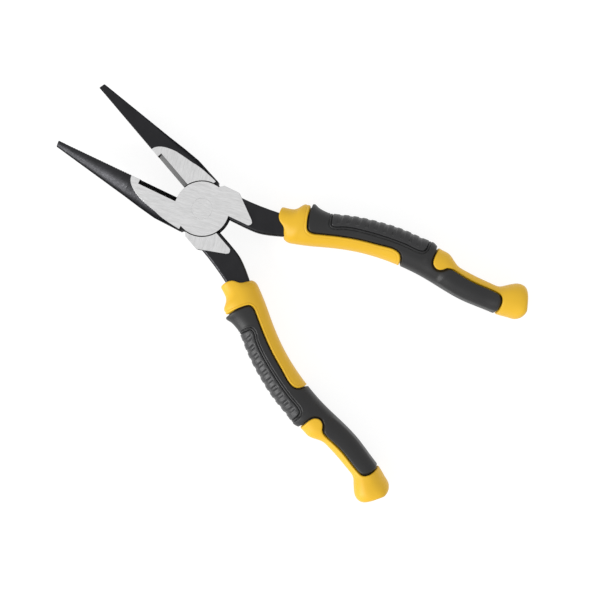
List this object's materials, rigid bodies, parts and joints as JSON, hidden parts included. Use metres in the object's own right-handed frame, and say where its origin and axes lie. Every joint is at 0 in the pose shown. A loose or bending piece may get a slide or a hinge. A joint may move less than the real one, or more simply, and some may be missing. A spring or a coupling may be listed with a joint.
{
  "type": "needle nose pliers",
  "caption": "Long nose pliers with serrated tapered jaws, a side cutter, a riveted lap joint and two-colour cushioned grips.",
  "frame": {"origin": "on the pivot axis, on the ground back face of the joint", "axes": "+X from the pivot towards the handles along the line of the closed pliers, +Z along the rivet from the back face to the front face"},
  "size_m": [0.1989, 0.1134, 0.0178],
  "materials": {
    "forged_steel": "black oxide forged steel, ground bright on the flat faces of the joint",
    "rivet_steel": "steel rivet ground flush with the joint faces",
    "core_plastic": "hard moulded sleeve, hidden under the grip",
    "yellow_plastic": "yellow moulded plastic with a fine satin texture",
    "soft_rubber": "charcoal soft moulded rubber, fine matte texture",
    "pad_rubber": "charcoal ribbed rubber, slightly smoother than the grip around it"
  },
  "bodies": {
    "rear_half": {"pivot_rivet": "rivet_steel", "rear_lever": "forged_steel", "rear_grip_core": "core_plastic", "rear_finger_guard": "yellow_plastic", "rear_soft_grip": "soft_rubber", "rear_rib_pad": "pad_rubber", "rear_end_cap": "yellow_plastic"},
    "front_half": {"front_lever": "forged_steel", "front_grip_core": "core_plastic", "front_finger_guard": "yellow_plastic", "front_soft_grip": "soft_rubber", "front_rib_pad": "pad_rubber", "front_end_cap": "yellow_plastic"}
  },
  "joints": [
    {"name": "pivot", "type": "hinge", "parent": "rear_half", "child": "front_half", "pos_m": [0, 0, 0.0055], "axis": [0, 0, 1], "range_deg": [-24, 7]}
  ]
}
